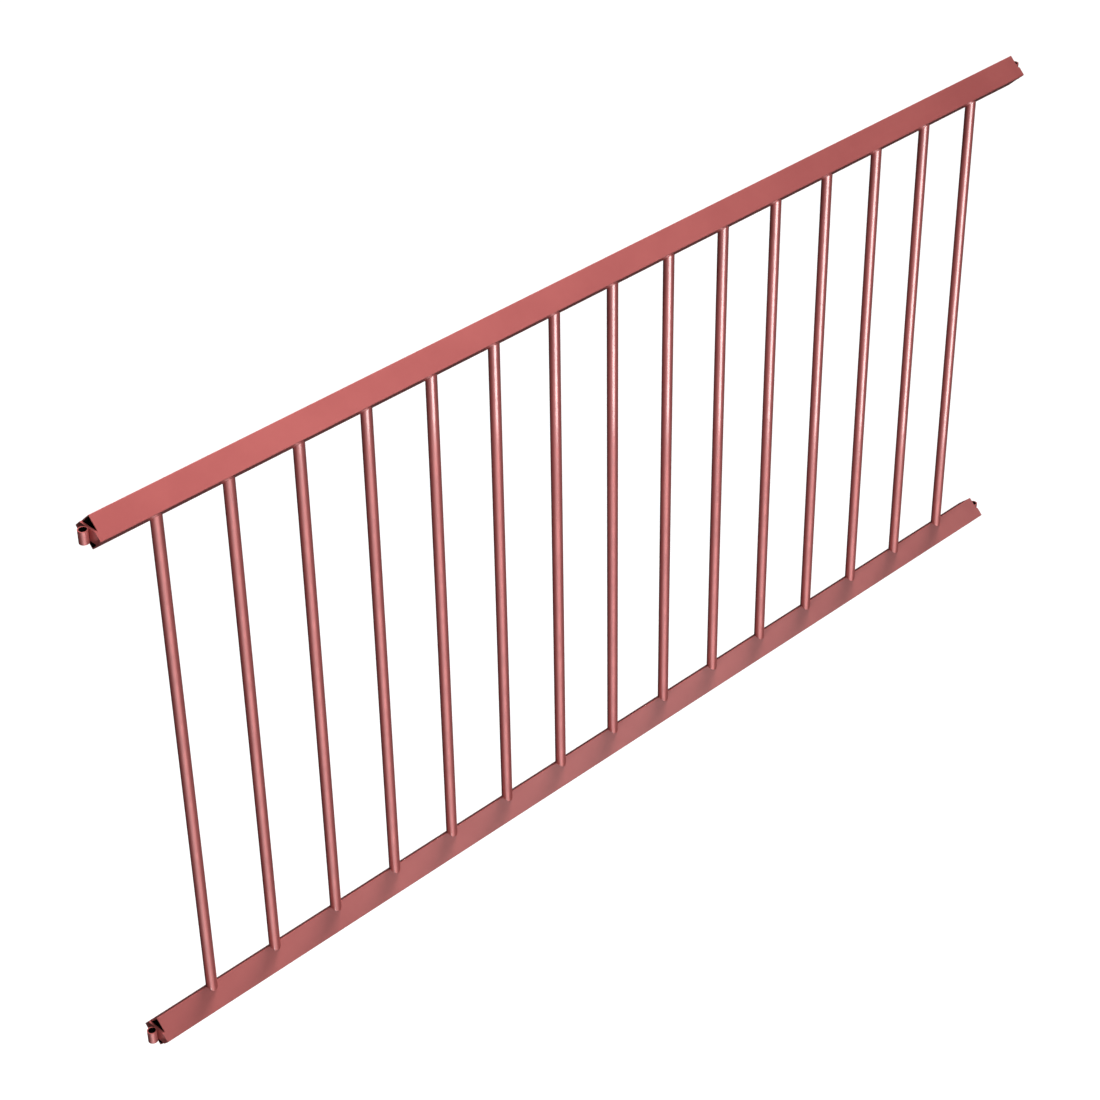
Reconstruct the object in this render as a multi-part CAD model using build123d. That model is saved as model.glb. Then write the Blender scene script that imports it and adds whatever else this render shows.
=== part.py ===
# Barred steel fence panel, in millimetres.
# Two rails of square hollow section stand on their edges, one above the other, and fifteen
# round bars run between them. Each rail end carries a six-sided end plate with an upright eye
# for a pin, so that panels hang on posts or on each other.
# The origin is the centre of the lower left eye's bottom face. +X runs along the rails, -Y
# faces the front and +Z points up.

import os
from math import sqrt

from build123d import *

# Rails: square hollow section set on its edge
rail_side = 40.0
rail_wall = 2.0
rail_outer_corner_radius = 1.0
rail_inner_corner_radius = 0.5
rail_spacing = 929.0
rail_overhang = 104.0

# Bars: round tubes with a notch in each end that sits on the facing edge of a rail
bar_count = 15
bar_pitch = 124.0
bar_diameter = 18.0
bar_wall = 1.5
bar_notch_clearance = 0.1

# End plates: flat bar with pointed ends, flush with the side edges of the rail
plate_thickness = 4.0
plate_height = 21.0

# Eyes: short upright tubes on the end plates
eye_outer_diameter = 15.0
eye_bore_diameter = 11.0
eye_height = 21.0

# From the rail's axis to an edge of its section, as if the corners were sharp
rail_half_diagonal = rail_side / sqrt(2)

# Places along X, from the axis of the left eyes
rail_start_x = eye_outer_diameter / 2 + plate_thickness
rail_length = 2 * rail_overhang + (bar_count - 1) * bar_pitch
rail_end_x = rail_start_x + rail_length
right_eye_x = rail_end_x + plate_thickness + eye_outer_diameter / 2
bar_places = [rail_start_x + rail_overhang + i * bar_pitch for i in range(bar_count)]

# Heights of the rail axes, from the lower faces of the lower eyes
bottom_rail_z = eye_height / 2
top_rail_z = bottom_rail_z + rail_spacing


def round_tube(outer_diameter, bore_diameter, height):
    """An upright tube that stands on the XY plane."""
    on_its_foot = (Align.CENTER, Align.CENTER, Align.MIN)
    body = Cylinder(outer_diameter / 2, height, align=on_its_foot)
    bore = Cylinder(bore_diameter / 2, height, align=on_its_foot)
    return body - bore


def rail_profile():
    """The hollow square section, turned to stand on its edge in the YZ plane."""
    bore_side = rail_side - 2 * rail_wall
    outside = RectangleRounded(rail_side, rail_side, rail_outer_corner_radius)
    inside = RectangleRounded(bore_side, bore_side, rail_inner_corner_radius)
    return Plane.YZ * Rot(0, 0, 45) * (outside - inside)


def rail(axis_z):
    """A plain length of the section, open at both ends."""
    return Pos(rail_start_x, 0, axis_z) * extrude(rail_profile(), amount=rail_length)


def bar(x):
    """A bar from one rail's edge to the other's. Each end is cut with the rail's own outline, which
    leaves a right-angled notch whose cheeks lie on the two faces beside the edge."""
    tube = Pos(x, 0, bottom_rail_z) * round_tube(bar_diameter, bar_diameter - 2 * bar_wall, rail_spacing)
    notch_side = rail_side + 2 * bar_notch_clearance
    notch = Rot(45, 0, 0) * Box(2 * bar_diameter, notch_side, notch_side)
    return tube - [Pos(x, 0, axis_z) * notch for axis_z in (bottom_rail_z, top_rail_z)]


def end_plate(inner_x, axis_z, outward):
    """A plate across the middle of a rail's open end. Its points follow the rail's side edges,
    and its level top and bottom leave the mouth open above and below it."""
    rail_outline = Rot(0, 0, 45) * RectangleRounded(rail_side, rail_side, rail_outer_corner_radius)
    band = Rectangle(2 * rail_half_diagonal, plate_height)
    outline = Plane.YZ * (rail_outline & band)
    return Pos(inner_x, 0, axis_z) * extrude(outline, amount=outward * plate_thickness)


def eye(x, axis_z):
    """An upright eye centred on a rail's height, touching the end plate with its side."""
    return Pos(x, 0, axis_z - eye_height / 2) * round_tube(eye_outer_diameter, eye_bore_diameter, eye_height)


def panel():
    """Every piece of the panel by name."""
    pieces = {
        "top_rail": rail(top_rail_z),
        "bottom_rail": rail(bottom_rail_z),
    }
    for number, x in enumerate(bar_places, start=1):
        pieces[f"bar_{number:02d}"] = bar(x)
    for level, axis_z in (("bottom", bottom_rail_z), ("top", top_rail_z)):
        pieces[f"end_plate_{level}_left"] = end_plate(rail_start_x, axis_z, -1)
        pieces[f"end_plate_{level}_right"] = end_plate(rail_end_x, axis_z, 1)
        pieces[f"eye_{level}_left"] = eye(0, axis_z)
        pieces[f"eye_{level}_right"] = eye(right_eye_x, axis_z)
    return pieces


os.makedirs("parts", exist_ok=True)
for name, shape in panel().items():
    export_step(shape, f"parts/{name}.step")
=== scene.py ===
# Painted steel fence panel in a white studio, seen from above its left end.
# Lengths are in metres, +X runs along the rails, -Y faces the front and +Z points up.
# A light's azimuth is counted from the front towards the panel's left, in degrees.

from math import cos, pi, radians, sin

import bpy
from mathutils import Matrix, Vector


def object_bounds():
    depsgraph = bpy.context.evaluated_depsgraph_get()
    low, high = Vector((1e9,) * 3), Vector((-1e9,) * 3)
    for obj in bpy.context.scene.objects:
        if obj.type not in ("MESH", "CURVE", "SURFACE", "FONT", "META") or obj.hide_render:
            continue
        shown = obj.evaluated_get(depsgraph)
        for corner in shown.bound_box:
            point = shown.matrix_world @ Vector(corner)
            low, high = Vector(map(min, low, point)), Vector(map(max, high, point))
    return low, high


WHITE = (1.0, 1.0, 1.0, 1.0)
BLACK = (0.0, 0.0, 0.0, 1.0)

# Camera: it stands on a line through the panel's centre. The lens is in millimetres.
VIEW_LINE = Vector((1.0, 1.0, -1.0))
BAR_PITCH = 0.124
CAMERA_PITCHES = 20.4994
FOCAL_LENGTH = 88.80
SENSOR_WIDTH = 36.0
SHIFT_X = -0.0568
SHIFT_Y = -0.0282

# Floor and backdrop: a flat ring and a dome. The floor glows, so that its shadows stay faint.
FLOOR_RADIUS = 40.0
FLOOR_HOLE = 0.001
FLOOR_DROP = 0.45
FLOOR_GREY = (0.25, 0.25, 0.25, 1.0)
FLOOR_GLOW = 0.76
BACKDROP_GLOW = 1.0
BACKDROP_RINGS = 24
STAGE_SIDES = 96

# Strip lights: elevations of their edges, and how soft these are, in degrees
STRIP_BOTTOM = -33.3
STRIP_TOP = -23.0
STRIP_CRISP = 0.3
STRIP_SOFT = 3.0

# Paint: smooth red gloss with a faint orange peel
PAINT_DEEP = (0.50, 0.118, 0.112, 1.0)
PAINT_BRIGHT = (0.54, 0.132, 0.124, 1.0)
BODY_ROUGHNESS = (0.46, 0.54)
COAT_ROUGHNESS = (0.04, 0.07)
METALLIC = 0.4
BODY_IOR = 1.5
COAT_IOR = 1.6

# Noise in the paint: how fine it is, and the part of its range over which a value changes
SHADE_SCALE = 7.0
SHADE_DETAIL = 4.0
SHEEN_SCALE = 45.0
SHEEN_DETAIL = 2.0
PEEL_SCALE = 330.0
PEEL_DETAIL = 1.0
PEEL_HEIGHT = 0.000005
NOISE_EDGES = (0.35, 0.65)

# Painted shade inside the tubes: a near-black, matt colour on the rails' inner faces and in the eye
# bores. The play is how far a mask reaches past the faces that it covers.
PAINTED_SHADE_INSIDE = (0.012, 0.009, 0.009, 1.0)
INSIDE_ROUGHNESS = 0.85
RAIL_WALL = 0.002
EYE_WALL = 0.002
MASK_PLAY = 0.0004


class NodeTree:
    """Short calls for building a shader. What is fed to a socket is a value or a node's output."""

    def __init__(self, tree):
        self.tree = tree

    def existing(self, name):
        """A node that every new tree has."""
        return self.tree.nodes[name]

    def node(self, kind, **settings):
        made = self.tree.nodes.new(kind)
        for name, value in settings.items():
            setattr(made, name, value)
        return made

    def feed(self, socket, value):
        if isinstance(value, bpy.types.NodeSocket):
            self.tree.links.new(value, socket)
        else:
            socket.default_value = value

    def math(self, operation, *values):
        made = self.node("ShaderNodeMath", operation=operation)
        for socket, value in zip(made.inputs, values):
            self.feed(socket, value)
        return made.outputs[0]

    def ramp(self, value, start, end, low=0.0, high=1.0):
        """A smooth step of value from low at start to high at end."""
        made = self.node("ShaderNodeMapRange", interpolation_type="SMOOTHSTEP")
        self.feed(made.inputs["Value"], value)
        limits = {"From Min": start, "From Max": end, "To Min": low, "To Max": high}
        for name, limit in limits.items():
            self.feed(made.inputs[name], limit)
        return made.outputs["Result"]

    def noise(self, where, scale, detail):
        made = self.node("ShaderNodeTexNoise")
        self.feed(made.inputs["Vector"], where)
        made.inputs["Scale"].default_value = scale
        made.inputs["Detail"].default_value = detail
        return made.outputs["Fac"]

    def blend(self, factor, first, second):
        made = self.node("ShaderNodeMixRGB")
        for name, value in {"Fac": factor, "Color1": first, "Color2": second}.items():
            self.feed(made.inputs[name], value)
        return made.outputs["Color"]


def direction(azimuth, elevation):
    """Unit vector towards an azimuth and an elevation in degrees."""
    turn = radians(azimuth)
    rise = radians(elevation)
    return Vector((-sin(turn) * cos(rise), -cos(turn) * cos(rise), sin(rise)))


def box_of(node):
    """Lowest and highest corner of a node in its own frame."""
    corners = [Vector(corner) for corner in node.bound_box]
    low = Vector(map(min, zip(*corners)))
    high = Vector(map(max, zip(*corners)))
    return low, high


def inside_rail(tree, place, rail):
    """1 on the inner faces of a square tube that stands on its edge, 0 outside it."""
    low, high = box_of(rail)
    middle = (low + high) / 2
    sideways = tree.math("ABSOLUTE", place.outputs["Y"])
    upwards = tree.math("ABSOLUTE", tree.math("SUBTRACT", place.outputs["Z"], middle.z))
    off_axis = tree.math("ADD", sideways, upwards)
    within = tree.math("LESS_THAN", off_axis, (high.z - low.z) / 2 - RAIL_WALL)
    lengthways = tree.math("ABSOLUTE", tree.math("SUBTRACT", place.outputs["X"], middle.x))
    between_ends = tree.math("LESS_THAN", lengthways, (high.x - low.x) / 2 + MASK_PLAY)
    return tree.math("MULTIPLY", within, between_ends)


def inside_eye(tree, place, eye):
    """1 in the bore of an upright eye, 0 on its outside."""
    low, high = box_of(eye)
    middle = (low + high) / 2
    across = tree.math("SUBTRACT", place.outputs["X"], middle.x)
    squares = [tree.math("MULTIPLY", side, side) for side in (across, place.outputs["Y"])]
    off_axis = tree.math("SQRT", tree.math("ADD", *squares))
    return tree.math("LESS_THAN", off_axis, (high.x - low.x) / 2 - EYE_WALL + MASK_PLAY)


def inside_tubes(tree, where, nodes):
    """1 inside the rails and the eyes, where shade is painted. A lower eye stands on the line of the
    upper one.
    """
    place = tree.node("ShaderNodeSeparateXYZ")
    tree.feed(place.inputs["Vector"], where)
    inside = 0.0
    for name in ("top_rail", "bottom_rail"):
        inside = tree.math("MAXIMUM", inside, inside_rail(tree, place, nodes[name]))
    for name in ("eye_top_left", "eye_top_right"):
        inside = tree.math("MAXIMUM", inside, inside_eye(tree, place, nodes[name]))
    return inside


def red_paint(nodes):
    """Gloss paint outside, and painted shade inside rails and eyes: a near-black, matt colour without
    coat.
    """
    material = bpy.data.materials.new("red_paint")
    material.use_nodes = True
    tree = NodeTree(material.node_tree)
    shader = tree.existing("Principled BSDF")
    where = tree.node("ShaderNodeTexCoord").outputs["Object"]
    inside_shade_mask = inside_tubes(tree, where, nodes)

    shade = tree.ramp(tree.noise(where, SHADE_SCALE, SHADE_DETAIL), *NOISE_EDGES)
    paint = tree.blend(shade, PAINT_DEEP, PAINT_BRIGHT)
    # Painted shade: the colour turns near-black inside the rails and the eye bores.
    tree.feed(shader.inputs["Base Color"], tree.blend(inside_shade_mask, paint, PAINTED_SHADE_INSIDE))

    sheen = tree.noise(where, SHEEN_SCALE, SHEEN_DETAIL)
    painted_roughness = tree.ramp(sheen, *NOISE_EDGES, *BODY_ROUGHNESS)
    inside_roughness = tree.math("MULTIPLY", inside_shade_mask, INSIDE_ROUGHNESS)
    roughness = tree.math("MAXIMUM", painted_roughness, inside_roughness)
    tree.feed(shader.inputs["Roughness"], roughness)
    tree.feed(shader.inputs["Coat Weight"], tree.math("SUBTRACT", 1.0, inside_shade_mask))
    tree.feed(shader.inputs["Coat Roughness"], tree.ramp(sheen, *NOISE_EDGES, *COAT_ROUGHNESS))
    shader.inputs["Metallic"].default_value = METALLIC
    shader.inputs["IOR"].default_value = BODY_IOR
    shader.inputs["Coat IOR"].default_value = COAT_IOR

    bump = tree.node("ShaderNodeBump")
    bump.inputs["Distance"].default_value = PEEL_HEIGHT
    tree.feed(bump.inputs["Height"], tree.noise(where, PEEL_SCALE, PEEL_DETAIL))
    tree.feed(shader.inputs["Normal"], bump.outputs["Normal"])
    tree.feed(shader.inputs["Coat Normal"], bump.outputs["Normal"])
    return material


def add_camera(centre):
    camera = bpy.data.objects.new("camera", bpy.data.cameras.new("camera"))
    bpy.context.scene.collection.objects.link(camera)
    camera.location = centre - VIEW_LINE * CAMERA_PITCHES * BAR_PITCH
    camera.rotation_mode = "QUATERNION"
    camera.rotation_quaternion = VIEW_LINE.to_track_quat("-Z", "Y")
    camera.data.sensor_width = SENSOR_WIDTH
    camera.data.lens = FOCAL_LENGTH
    camera.data.shift_x = SHIFT_X
    camera.data.shift_y = SHIFT_Y
    bpy.context.scene.camera = camera


def stage_material(name, colour, glow):
    """A matt colour that gives off some white light of its own."""
    material = bpy.data.materials.new(name)
    material.use_nodes = True
    shader = material.node_tree.nodes["Principled BSDF"]
    settings = {
        "Base Color": colour,
        "Roughness": 1.0,
        "Specular IOR Level": 0.0,
        "Emission Color": WHITE,
        "Emission Strength": glow,
    }
    for socket, value in settings.items():
        shader.inputs[socket].default_value = value
    return material


def add_stage_piece(name, rings, material, ground):
    """A surface through rings, given as (radius, height), that the camera alone sees."""
    points = []
    for radius, height in rings:
        for side in range(STAGE_SIDES):
            turn = 2 * pi * side / STAGE_SIDES
            points.append((radius * cos(turn), radius * sin(turn), height))
    faces = []
    for inner in range(0, len(points) - STAGE_SIDES, STAGE_SIDES):
        outer = inner + STAGE_SIDES
        for side in range(STAGE_SIDES):
            after = (side + 1) % STAGE_SIDES
            faces.append((inner + side, inner + after, outer + after, outer + side))

    mesh = bpy.data.meshes.new(name)
    mesh.from_pydata(points, [], faces)
    mesh.polygons.foreach_set("use_smooth", [True] * len(mesh.polygons))
    mesh.materials.append(material)
    piece = bpy.data.objects.new(name, mesh)
    piece.location.z = ground
    bpy.context.scene.collection.objects.link(piece)
    piece.visible_diffuse = False
    piece.visible_glossy = False
    piece.visible_shadow = False


def add_stage(lowest):
    """A wide floor below the panel, which hangs on its posts, and a dome over it."""
    ground = lowest - FLOOR_DROP
    floor_white = stage_material("floor_white", FLOOR_GREY, FLOOR_GLOW)
    floor_rings = [(FLOOR_HOLE, 0.0), (FLOOR_RADIUS, 0.0)]
    add_stage_piece("floor", floor_rings, floor_white, ground)

    backdrop_white = stage_material("backdrop_white", BLACK, BACKDROP_GLOW)
    rises = [pi / 2 * ring / BACKDROP_RINGS for ring in range(BACKDROP_RINGS)]
    dome_rings = [(FLOOR_RADIUS * cos(rise), FLOOR_RADIUS * sin(rise)) for rise in rises]
    add_stage_piece("backdrop", dome_rings, backdrop_white, ground)


class Studio:
    """The light all round, as a sum of soft glows by direction."""

    def __init__(self):
        world = bpy.data.worlds.new("studio")
        world.use_nodes = True
        bpy.context.scene.world = world
        self.tree = NodeTree(world.node_tree)
        self.way = self.tree.node("ShaderNodeTexCoord").outputs["Generated"]
        self.total = 0.0

    def add(self, light):
        self.total = self.tree.math("ADD", self.total, light)

    def glow(self, azimuth, elevation, sharpness, strength):
        """A round light with a soft edge. It is narrower the higher its sharpness."""
        along = self.tree.node("ShaderNodeVectorMath", operation="DOT_PRODUCT")
        self.tree.feed(along.inputs[0], self.way)
        along.inputs[1].default_value = direction(azimuth, elevation)
        facing = self.tree.math("MAXIMUM", along.outputs["Value"], 0.0)
        lobe = self.tree.math("POWER", facing, sharpness)
        self.add(self.tree.math("MULTIPLY", lobe, strength))

    def strip(self, azimuth, half_width, edge, strength):
        """A strip light low in front: even across, with a crisp lower and a soft upper edge."""
        parts = self.tree.node("ShaderNodeSeparateXYZ")
        self.tree.feed(parts.inputs["Vector"], self.way)
        left = self.tree.math("MULTIPLY", parts.outputs["X"], -1.0)
        front = self.tree.math("MULTIPLY", parts.outputs["Y"], -1.0)
        turn = self.tree.math("ARCTAN2", left, front)
        off = self.tree.math("ABSOLUTE", self.tree.math("SUBTRACT", turn, radians(azimuth)))
        across = self.tree.ramp(off, radians(half_width), radians(half_width + edge), low=1.0, high=0.0)

        lower_edge = [STRIP_BOTTOM - STRIP_CRISP, STRIP_BOTTOM + STRIP_CRISP]
        upper_edge = [STRIP_TOP - STRIP_SOFT, STRIP_TOP]
        lower_heights = [sin(radians(elevation)) for elevation in lower_edge]
        upper_heights = [sin(radians(elevation)) for elevation in upper_edge]
        above = self.tree.ramp(parts.outputs["Z"], *lower_heights)
        below = self.tree.ramp(parts.outputs["Z"], *upper_heights, low=1.0, high=0.0)
        area = self.tree.math("MULTIPLY", across, self.tree.math("MULTIPLY", above, below))
        self.add(self.tree.math("MULTIPLY", area, strength))

    def finish(self):
        background = self.tree.existing("Background")
        background.inputs["Color"].default_value = WHITE
        self.tree.feed(background.inputs["Strength"], self.total)


def add_lamp(name, kind, power):
    """A lamp that leaves no highlight of its own."""
    light = bpy.data.lights.new(name, kind)
    light.energy = power
    lamp = bpy.data.objects.new(name, light)
    bpy.context.scene.collection.objects.link(lamp)
    lamp.visible_glossy = False
    lamp.visible_camera = False
    return lamp


def add_far_lamp(azimuth, elevation, angle, power):
    """A soft lamp whose light comes from one direction all over the panel."""
    lamp = add_lamp("far_lamp", "SUN", power)
    lamp.data.angle = radians(angle)
    lamp.rotation_mode = "QUATERNION"
    lamp.rotation_quaternion = direction(azimuth, elevation).to_track_quat("Z", "Y")


def add_near_lamp(place, size, power):
    """A square lamp that faces down and is stronger on what is close to it."""
    lamp = add_lamp("near_lamp", "AREA", power)
    lamp.data.size = size
    lamp.location = place


def add_lights():
    studio = Studio()
    # A little light from everywhere
    studio.add(0.02)
    # High over the right end: the rails' upper faces
    studio.glow(azimuth=-80, elevation=60, sharpness=80, strength=4.3)
    # In front of the right end: the pale sheen on the rails' upper front faces
    studio.glow(azimuth=-38, elevation=28, sharpness=60, strength=1.45)
    # Low round the front: the body of the bars
    studio.glow(azimuth=39, elevation=-40, sharpness=8, strength=1.78)
    studio.glow(azimuth=0, elevation=-20, sharpness=30, strength=1.8)
    studio.glow(azimuth=-58, elevation=-35, sharpness=12, strength=0.12)
    # Strip lights: the bright line down each bar
    studio.strip(azimuth=22, half_width=14, edge=9, strength=8.2)
    studio.strip(azimuth=8, half_width=10, edge=6, strength=2.8)
    studio.finish()
    # Behind the right end: throws the bars' soft shadows on the bottom rail
    add_far_lamp(azimuth=-119, elevation=52, angle=20, power=4.4)
    # Close above the left end: the top rail is brightest there
    add_near_lamp(place=(0.3, -0.35, 2.84), size=0.6, power=45.0)


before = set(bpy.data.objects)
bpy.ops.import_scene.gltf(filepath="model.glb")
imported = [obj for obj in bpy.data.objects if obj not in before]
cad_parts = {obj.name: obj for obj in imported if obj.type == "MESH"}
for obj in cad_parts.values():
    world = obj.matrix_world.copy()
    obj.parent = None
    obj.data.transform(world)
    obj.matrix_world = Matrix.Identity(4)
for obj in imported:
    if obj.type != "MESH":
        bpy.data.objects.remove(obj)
cad_low, cad_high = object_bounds()

paint = red_paint(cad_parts)
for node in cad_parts.values():
    node.data.materials.clear()
    node.data.materials.append(paint)

add_camera((cad_low + cad_high) / 2)
add_lights()
add_stage(cad_low.z)

bpy.context.scene.view_settings.view_transform = "Standard"
